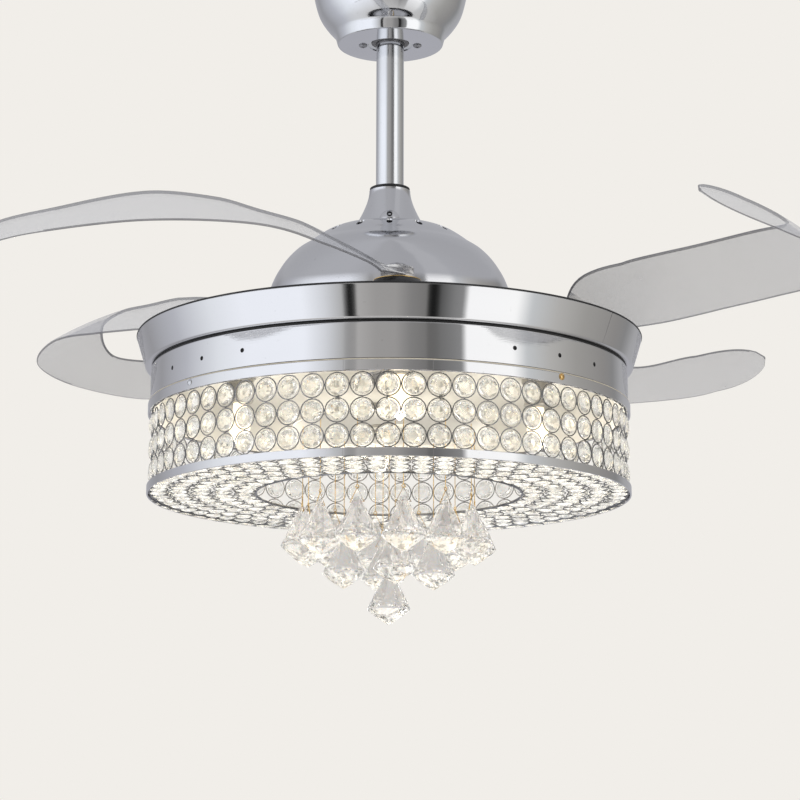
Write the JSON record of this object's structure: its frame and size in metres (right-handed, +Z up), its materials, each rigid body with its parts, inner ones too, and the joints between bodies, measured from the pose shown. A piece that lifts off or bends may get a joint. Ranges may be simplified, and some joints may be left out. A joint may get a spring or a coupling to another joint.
{
  "type": "retractable blade ceiling fan",
  "caption": "Ceiling fan whose clear curved blades fold in over a round lamp drum of faceted beads with tiers of hanging glass drops.",
  "frame": {"origin": "centre of the hanger bracket's upper face, where it meets the ceiling", "axes": "+Z up along the down rod's axis, -Y towards the viewer of the pictured side, +X to that viewer's right"},
  "size_m": [0.8454, 0.8426, 0.687],
  "materials": {
    "canopy_chrome": "polished",
    "polished_steel": "polished",
    "cast_aluminium": "satin, cast",
    "zinc": "satin",
    "gold": "polished",
    "black_rubber": "matte",
    "black_plastic": "matte",
    "clear_blade": "clear, glossy",
    "crystal": "clear, faceted",
    "lit_glass": "opal, lit"
  },
  "bodies": {
    "housing": {"hanger_bracket": "zinc", "canopy": "canopy_chrome", "canopy_screw_1": "zinc", "canopy_screw_2": "zinc", "hanger_ball": "black_plastic", "ball_pin": "zinc", "down_rod": "canopy_chrome", "rod_gasket": "black_rubber", "collar_cover": "polished_steel", "dome_cover": "polished_steel", "yoke_shaft": "zinc", "yoke_bolt": "zinc", "tray_ring": "canopy_chrome", "spacer_ring": "black_rubber", "lamp_body": "polished_steel", "shaft_nut": "zinc", "upper_trim": "canopy_chrome", "lower_trim": "canopy_chrome", "bead_wall": "crystal", "bead_floor": "crystal", "drop_frame": "gold", "lamp_holder_1": "black_plastic", "lamp_holder_2": "black_plastic", "lamp_holder_3": "black_plastic", "lamp_holder_4": "black_plastic", "lamp_bulb_1": "lit_glass", "lamp_bulb_2": "lit_glass", "lamp_bulb_3": "lit_glass", "lamp_bulb_4": "lit_glass"},
    "rotor": {"motor_case": "cast_aluminium", "blade_carrier": "zinc", "spring_cup_1": "black_plastic", "spring_cup_2": "black_plastic", "spring_cup_3": "black_plastic", "spring_cup_4": "black_plastic", "blade_pin_1": "zinc", "blade_pin_2": "zinc", "blade_pin_3": "zinc", "blade_pin_4": "zinc"},
    "blade_1": {"blade_1": "clear_blade"},
    "blade_2": {"blade_2": "clear_blade"},
    "blade_3": {"blade_3": "clear_blade"},
    "blade_4": {"blade_4": "clear_blade"},
    "outer_drop_1": {"outer_drop_1": "crystal"},
    "outer_drop_2": {"outer_drop_2": "crystal"},
    "outer_drop_3": {"outer_drop_3": "crystal"},
    "outer_drop_4": {"outer_drop_4": "crystal"},
    "outer_drop_5": {"outer_drop_5": "crystal"},
    "outer_drop_6": {"outer_drop_6": "crystal"},
    "outer_drop_7": {"outer_drop_7": "crystal"},
    "outer_drop_8": {"outer_drop_8": "crystal"},
    "outer_drop_9": {"outer_drop_9": "crystal"},
    "outer_drop_10": {"outer_drop_10": "crystal"},
    "outer_drop_11": {"outer_drop_11": "crystal"},
    "outer_drop_12": {"outer_drop_12": "crystal"},
    "inner_drop_1": {"inner_drop_1": "crystal"},
    "inner_drop_2": {"inner_drop_2": "crystal"},
    "inner_drop_3": {"inner_drop_3": "crystal"},
    "inner_drop_4": {"inner_drop_4": "crystal"},
    "centre_drop": {"centre_drop": "crystal"}
  },
  "joints": [
    {"name": "rotor_spin", "type": "hinge", "parent": "housing", "child": "rotor", "pos_m": [0, 0, -0.4], "axis": [0, 0, 1], "continuous": true},
    {"name": "blade_1_fold", "type": "hinge", "parent": "rotor", "child": "blade_1", "pos_m": [0.18983, 0.00796, -0.3834], "axis": [0, 0, 1], "range_deg": [-79.6, 0]},
    {"name": "blade_2_fold", "type": "hinge", "parent": "rotor", "child": "blade_2", "pos_m": [0.00796, -0.18983, -0.3834], "axis": [0, 0, 1], "range_deg": [-70.9, 0]},
    {"name": "blade_3_fold", "type": "hinge", "parent": "rotor", "child": "blade_3", "pos_m": [-0.18983, -0.00796, -0.3834], "axis": [0, 0, 1], "range_deg": [-70, 0]},
    {"name": "blade_4_fold", "type": "hinge", "parent": "rotor", "child": "blade_4", "pos_m": [-0.00796, 0.18983, -0.3834], "axis": [0, 0, 1], "range_deg": [-78.8, 0]},
    {"name": "outer_drop_1_swing", "type": "hinge", "parent": "housing", "child": "outer_drop_1", "pos_m": [0.01436, -0.08581, -0.577], "axis": [-0.9863, -0.165, 0], "range_deg": [-3, 12]},
    {"name": "outer_drop_2_swing", "type": "hinge", "parent": "housing", "child": "outer_drop_2", "pos_m": [0.05534, -0.06713, -0.577], "axis": [-0.7716, -0.6361, 0], "range_deg": [-3, 12]},
    {"name": "outer_drop_3_swing", "type": "hinge", "parent": "housing", "child": "outer_drop_3", "pos_m": [0.08149, -0.03047, -0.577], "axis": [-0.3502, -0.9367, 0], "range_deg": [-3, 12]},
    {"name": "outer_drop_4_swing", "type": "hinge", "parent": "housing", "child": "outer_drop_4", "pos_m": [0.08581, 0.01436, -0.577], "axis": [0.165, -0.9863, 0], "range_deg": [-3, 12]},
    {"name": "outer_drop_5_swing", "type": "hinge", "parent": "housing", "child": "outer_drop_5", "pos_m": [0.06713, 0.05534, -0.577], "axis": [0.6361, -0.7716, 0], "range_deg": [-3, 12]},
    {"name": "outer_drop_6_swing", "type": "hinge", "parent": "housing", "child": "outer_drop_6", "pos_m": [0.03047, 0.08149, -0.577], "axis": [0.9367, -0.3502, 0], "range_deg": [-3, 12]},
    {"name": "outer_drop_7_swing", "type": "hinge", "parent": "housing", "child": "outer_drop_7", "pos_m": [-0.01436, 0.08581, -0.577], "axis": [0.9863, 0.165, 0], "range_deg": [-3, 12]},
    {"name": "outer_drop_8_swing", "type": "hinge", "parent": "housing", "child": "outer_drop_8", "pos_m": [-0.05534, 0.06713, -0.577], "axis": [0.7716, 0.6361, 0], "range_deg": [-3, 12]},
    {"name": "outer_drop_9_swing", "type": "hinge", "parent": "housing", "child": "outer_drop_9", "pos_m": [-0.08149, 0.03047, -0.577], "axis": [0.3502, 0.9367, 0], "range_deg": [-3, 12]},
    {"name": "outer_drop_10_swing", "type": "hinge", "parent": "housing", "child": "outer_drop_10", "pos_m": [-0.08581, -0.01436, -0.577], "axis": [-0.165, 0.9863, 0], "range_deg": [-3, 12]},
    {"name": "outer_drop_11_swing", "type": "hinge", "parent": "housing", "child": "outer_drop_11", "pos_m": [-0.06713, -0.05534, -0.577], "axis": [-0.6361, 0.7716, 0], "range_deg": [-3, 12]},
    {"name": "outer_drop_12_swing", "type": "hinge", "parent": "housing", "child": "outer_drop_12", "pos_m": [-0.03047, -0.08149, -0.577], "axis": [-0.9367, 0.3502, 0], "range_deg": [-3, 12]},
    {"name": "inner_drop_1_swing", "type": "hinge", "parent": "housing", "child": "inner_drop_1", "pos_m": [0.00626, -0.04456, -0.603], "axis": [-0.9903, -0.1392, 0], "range_deg": [-8, 12]},
    {"name": "inner_drop_2_swing", "type": "hinge", "parent": "housing", "child": "inner_drop_2", "pos_m": [0.04456, 0.00626, -0.603], "axis": [0.1392, -0.9903, 0], "range_deg": [-8, 12]},
    {"name": "inner_drop_3_swing", "type": "hinge", "parent": "housing", "child": "inner_drop_3", "pos_m": [-0.00626, 0.04456, -0.603], "axis": [0.9903, 0.1392, 0], "range_deg": [-8, 12]},
    {"name": "inner_drop_4_swing", "type": "hinge", "parent": "housing", "child": "inner_drop_4", "pos_m": [-0.04456, -0.00626, -0.603], "axis": [-0.1392, 0.9903, 0], "range_deg": [-8, 12]},
    {"name": "centre_drop_swing", "type": "hinge", "parent": "housing", "child": "centre_drop", "pos_m": [0, 0, -0.638], "axis": [-0.9903, -0.1392, 0], "range_deg": [-8, 8]}
  ],
  "couplings": [
    {"joint": "blade_2_fold", "follows": "blade_1_fold", "ratio": 0.8907},
    {"joint": "blade_3_fold", "follows": "blade_1_fold", "ratio": 0.8793},
    {"joint": "blade_4_fold", "follows": "blade_1_fold", "ratio": 0.9899}
  ]
}
